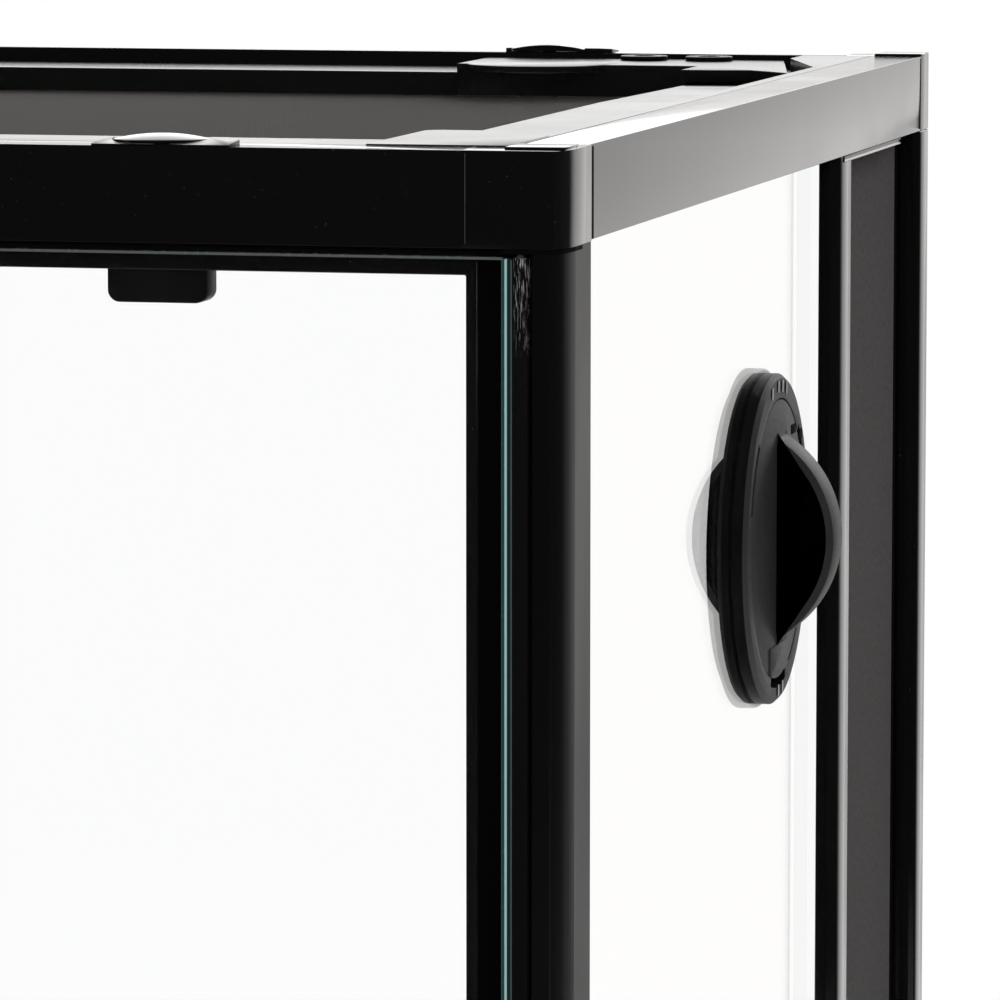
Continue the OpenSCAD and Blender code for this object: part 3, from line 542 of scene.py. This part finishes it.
def round_front_edge(piece, hand, side, front, across, back):
    """Rounds the upright edge between a front corner's face and its side over a long, shallow curve."""
    alone(piece)
    bpy.ops.object.mode_set(mode="EDIT")
    for degrees in range(8, 90, 8):
        turn = math.radians(degrees)
        at = (hand * (side - across + across * math.sin(turn)), front + back - back * math.cos(turn), 0)
        out = Vector((hand * math.sin(turn) / across, -math.cos(turn) / back, 0)).normalized()
        bpy.ops.mesh.select_all(action="SELECT")
        bpy.ops.mesh.bisect(plane_co=at, plane_no=out, use_fill=True, clear_outer=True)
    bpy.ops.object.mode_set(mode="OBJECT")


def plastic_of(node):
    """Most mouldings have their slot's own finish."""
    if "post_front" in node:
        return drawn_plastic
    if "hinge_leaf" in node:
        return hinge_plastic
    if node in ("latch_housings", "cable_grommets", "port_flange"):
        return dull_plastic
    if node in ("lid_frame", "cable_modules", "latch_bases"):
        return lid_plastic
    return finishes[slot_of_node[node]]


def moulding(node):
    """A node as a moulding, its edges rounded as moulded plastic has them."""
    piece = merged_copy(node)
    hand = 1 if "right" in node else -1
    if "mullion" in node:
        cut_inside(piece, hand, mullion_cut)
    if "vent_frame" in node:
        cut_inside(piece, hand, vent_frame_cut)
    if "corner_front" in node:
        round_front_edge(piece, hand, **block_curve)
    if node == "port_cap":
        push_faces(piece, lambda f: f.normal.x > 0.99 and abs(f.center.x - cap_face) < 0.0002, cap_forward)
    ease(piece, next((radius for part, radius in edge_radii.items() if part in node), other_edges))
    if "post_front" in node:
        # The side first moves out past the curve, whose last cut then leaves it flat up to its ends.
        push_faces(
            piece, lambda f: f.normal.x * hand > 0.99 and f.center.x * hand > post_side_from,
            post_outward * hand)
        round_front_edge(piece, hand, **post_curve)
    paint(piece, plastic_of(node))
    if node == "port_ring":
        piece.data.materials.append(dull_plastic)
        for face in piece.data.polygons:
            face.material_index = int(abs(face.normal.x) < 0.5)
    stand_for(piece, node)


def moulded_pieces():
    """Frame, lid, latches, port and feet."""
    for node, slot in slot_of_node.items():
        if slot in ("gloss_black", "matte_black", "black_rubber"):
            moulding(node)


# ---- screens, metal and strip ----

def wire_net(node, pitch, thick, finish):
    """Straight crossing wires over a CAD net's rectangle."""
    lo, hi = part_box(node)
    flat = thin_axis(lo, hi)
    middle = (lo[flat] + hi[flat]) / 2
    axes = [axis for axis in range(3) if axis != flat]
    runs = []
    for run, step, level in ((*axes, -thick / 2), (*reversed(axes), thick / 2)):
        count = int((hi[step] - lo[step]) / pitch) + 1
        place = [0.0, 0.0, 0.0]
        place[run] = (lo[run] + hi[run]) / 2
        place[step] = lo[step] + (hi[step] - lo[step] - (count - 1) * pitch) / 2
        place[flat] = middle + level
        turn = Vector((0, 0, 1)).rotation_difference(Vector([float(a == run) for a in range(3)]))
        bpy.ops.mesh.primitive_cylinder_add(
            vertices=6, radius=thick / 2, depth=hi[run] - lo[run], location=place, rotation=turn.to_euler())
        wires = bpy.context.object
        alone(wires)
        bpy.ops.object.transform_apply(location=True, rotation=True, scale=True)
        row = wires.modifiers.new("row of wires", "ARRAY")
        row.count = count
        row.use_relative_offset = False
        row.use_constant_offset = True
        row.constant_offset_displace = [pitch if a == step else 0 for a in range(3)]
        bpy.ops.object.modifier_apply(modifier=row.name)
        runs.append(wires)
    alone(runs[0])
    runs[1].select_set(True)
    bpy.ops.object.join()
    net = bpy.context.object
    net.name = node + "_wires"
    paint(net, finish)
    stand_for(net, node)


def steel_pieces():
    for node in ("hinge_pins", "lock_body", "lock_plug"):
        piece = ease(merged_copy(node), 0.0003)
        paint(piece, finishes["bright_steel"])
        stand_for(piece, node)


def door_strip():
    strip = ease(merged_copy("door_seal"), 0.0002)
    paint(strip, finishes["clear_strip"])
    stand_for(strip, "door_seal")


# ---- small pieces that the CAD doesn't have ----

def small_piece(piece, node, finish):
    """A small added piece rides with the node it sits on."""
    paint(piece, finish)
    settle(piece, body_of_node[node])


def side_bar(name, hand, lo, hi, radius):
    """A bar given by its corners on the right side, built on the right or mirrored to the left."""
    x0, x1 = sorted((hand * lo[0], hand * hi[0]))
    return bar(name, (x0, *lo[1:]), (x1, *hi[1:]), radius)


def corner_gaps():
    """Painted shade: thin near-black strips laid where gaps fall in shade, behind the front corner blocks,
    over the posts, and before the rear blocks.
    """
    for name, hand in (("right", 1), ("left", -1)):
        front_block = "top_corner_front_" + name
        seam = side_bar(
            name + "_corner_seam_shade", hand, (0.3035, -0.2710, 0.5835), (0.30605, -0.2672, 0.6095), 0.0002)
        small_piece(seam, front_block, painted_gap_shade)
        slit = side_bar(
            name + "_post_slit_shade", hand, (0.2880, -0.3051, 0.5816), (0.3060, -0.2715, 0.5829), 0.0001)
        round_front_edge(slit, hand, **slit_curve)
        small_piece(slit, front_block, painted_gap_shade)
        joint = side_bar(
            name + "_rear_joint_shade", hand, (0.3035, 0.2868, 0.5838), (0.3051, 0.2876, 0.6092), 0.0001)
        small_piece(joint, "top_corner_rear_" + name, painted_gap_shade)


def front_seams():
    """The fine seam where the front rail meets each corner block: a thin bead a shade paler than the gloss,
    a painted highlight of the seam's edge.
    """
    half = 0.00012
    for name, hand in (("right", 1), ("left", -1)):
        x = hand * 0.27795
        seam_highlight = bar(
            name + "_front_seam", (x - half, -0.3052, 0.5842), (x + half, -0.3046, 0.6092), 0.0001)
        # The wire finish's paler colour gives the painted highlight.
        small_piece(seam_highlight, "top_front_rail", finishes["dark_mesh"])


def vent_bars():
    """A slim grooved bar under each side rail that keeps the vent frame in."""
    lip_width, groove_depth = 0.0006, 0.0004
    for name, hand in (("right", 1), ("left", -1)):
        strip = side_bar(
            name + "_vent_bar", hand, (0.3012, 0.1345, 0.5808), (0.3049, 0.2470, 0.5829), 0.0002)
        bpy.ops.object.mode_set(mode="EDIT")
        pick_faces(strip, lambda face: face.normal.x * hand > 0.99 and face.area > 1e-5)
        bpy.ops.mesh.inset(thickness=lip_width)
        bpy.ops.transform.translate(value=(-groove_depth * hand, 0, 0))
        bpy.ops.object.mode_set(mode="OBJECT")
        small_piece(strip, name + "_vent_frame", lid_plastic)


def ring_dot(name, middle):
    """A low round button on the port ring's face."""
    bpy.ops.mesh.primitive_cylinder_add(
        vertices=20, radius=0.0021, depth=0.0004, location=middle, rotation=(0, math.radians(90), 0))
    dot = bpy.context.object
    dot.name = name
    alone(dot)
    bpy.ops.object.transform_apply(location=True, rotation=True, scale=True)
    bpy.ops.object.mode_set(mode="EDIT")
    pick_faces(dot, lambda face: face.normal.x > 0.99)
    bpy.ops.mesh.bevel(offset=0.0001, segments=2, affect="EDGES")
    bpy.ops.object.mode_set(mode="OBJECT")
    return dot


def port_marks():
    """Plain dots on the port's ring, and beside its grip the square slots, given as near-black pads of
    painted shade.
    """
    y, z = 0.033, 0.464    # the port's middle
    dot_x, dot_circle = 0.30205, 0.050
    for k, degrees in enumerate((-14, -2, 6, 14, 172, 180)):
        turn = math.radians(degrees)
        place = (dot_x, y + dot_circle * math.sin(turn), z + dot_circle * math.cos(turn))
        small_piece(ring_dot(f"ring_dot_{k + 1}", place), "port_ring", finishes["gloss_black"])
    # Painted shade: these pads stand in for the shade inside the slots.
    slot = bar("cap_slot", (0.3012, y + 0.0215, z + 0.0320), (0.30202, y + 0.0300, z + 0.0352), 0.0001)
    small_piece(slot, "port_cap", painted_gap_shade)
    slot = bar("ring_slot", (0.3012, y + 0.0350, z + 0.0290), (0.30212, y + 0.0405, z + 0.0325), 0.0001)
    small_piece(slot, "port_ring", painted_gap_shade)


# ---- stage ----

def world_light():
    """White for the eye and through glass; gloss mirrors dark, and pale only straight behind the tank."""
    dark_until, pale_from = 0.935, 0.97
    world = bpy.data.worlds.new("studio")
    bpy.context.scene.world = world
    world.use_nodes = True
    tree = world.node_tree
    shown = tree.nodes["Background"]
    ambient = tree.nodes.new("ShaderNodeBackground")
    for light, strength in ((shown, 1.0), (ambient, 0.5)):
        light.inputs["Color"].default_value = (1, 1, 1, 1)
        light.inputs["Strength"].default_value = strength
    mirrored = tree.nodes.new("ShaderNodeBackground")
    coords = tree.nodes.new("ShaderNodeTexCoord")
    to_the_rear = remap(tree, along(tree, coords.outputs["Generated"], "Y"), -1, 1, 0, 1)
    tree.links.new(
        ramp(tree, to_the_rear, [(dark_until, grey(0.035)), (pale_from, (1.0, 0.985, 0.97))]),
        mirrored.inputs["Color"])
    path = tree.nodes.new("ShaderNodeLightPath").outputs
    unmirrored = reckon(tree, "LESS_THAN", path["Glossy Depth"], 0.5)
    through_glass = reckon(tree, "MULTIPLY", path["Is Transmission Ray"], unmirrored)
    seen = reckon(tree, "MAXIMUM", path["Is Camera Ray"], through_glass)
    unseen = mix_shaders(
        tree, path["Is Glossy Ray"], ambient.outputs["Background"], mirrored.outputs["Background"])
    surface = mix_shaders(tree, seen, unseen, shown.outputs["Background"])
    tree.links.new(surface, tree.nodes["World Output"].inputs["Surface"])


def floor():
    """A pale round floor that fades out into the white."""
    bpy.ops.mesh.primitive_circle_add(vertices=96, radius=1.7, fill_type="NGON", location=(0, 0, -0.0005))
    ground = bpy.context.object
    ground.name = "floor"
    mat, tree, shader = new_material("pale_floor")
    coords = tree.nodes.new("ShaderNodeTexCoord")
    from_middle = tree.nodes.new("ShaderNodeVectorMath")
    from_middle.operation = "LENGTH"
    tree.links.new(coords.outputs["Object"], from_middle.inputs[0])
    shader.inputs["Base Color"].default_value = (0.86, 0.86, 0.86, 1)
    shader.inputs["Roughness"].default_value = 0.9
    shader.inputs["Emission Color"].default_value = (1, 1, 1, 1)
    path = tree.nodes.new("ShaderNodeLightPath")
    glow = reckon(tree, "MULTIPLY", path.outputs["Is Camera Ray"], 0.3)
    tree.links.new(glow, shader.inputs["Emission Strength"])
    fade = remap(tree, from_middle.outputs["Value"], 0.75, 1.6, 1.0, 0.0)
    tree.links.new(fade, shader.inputs["Alpha"])
    paint(ground, mat)


def soft_lamp(name, at, aim, size, watts):
    """A rectangular lamp that neither the camera nor the gloss shows."""
    data = bpy.data.lights.new(name, "AREA")
    data.shape = "RECTANGLE"
    data.size, data.size_y = size
    data.energy = watts
    lamp = bpy.data.objects.new(name, data)
    bpy.context.scene.collection.objects.link(lamp)
    lamp.location = at
    lamp.rotation_euler = (Vector(aim) - Vector(at)).to_track_quat("-Z", "Y").to_euler()
    lamp.visible_camera = False
    lamp.visible_glossy = False
    return lamp


def back_panel():
    """A soft panel behind and above the tank that shows only in reflections."""
    panel = soft_lamp("back_panel", at=(0.0, 2.4, 1.6), aim=(0.0, 0.0, 0.6), size=(3.4, 1.6), watts=27)
    panel.visible_glossy = True
    panel.visible_diffuse = False
    panel.visible_transmission = False


place_camera()
world_light()
floor()
soft_lamp("key", at=(1.9, -1.0, 1.9), aim=(0.1, 0, 0.4), size=(1.2, 1.2), watts=22)
soft_lamp("fill", at=(-1.8, -1.6, 1.6), aim=(0, 0, 0.3), size=(1.4, 1.4), watts=10)
soft_lamp("back", at=(0.4, 2.0, 2.0), aim=(0, 0, 0.4), size=(1.6, 1.0), watts=16)
back_panel()

panes()
moulded_pieces()
wire_net("lid_screen", pitch=0.0016, thick=0.0004, finish=finishes["dark_mesh"])
wire_net("left_vent_mesh", pitch=0.0012, thick=0.00035, finish=vent_wire)
wire_net("right_vent_mesh", pitch=0.0012, thick=0.00035, finish=vent_wire)
steel_pieces()
door_strip()
corner_gaps()
front_seams()
vent_bars()
port_marks()
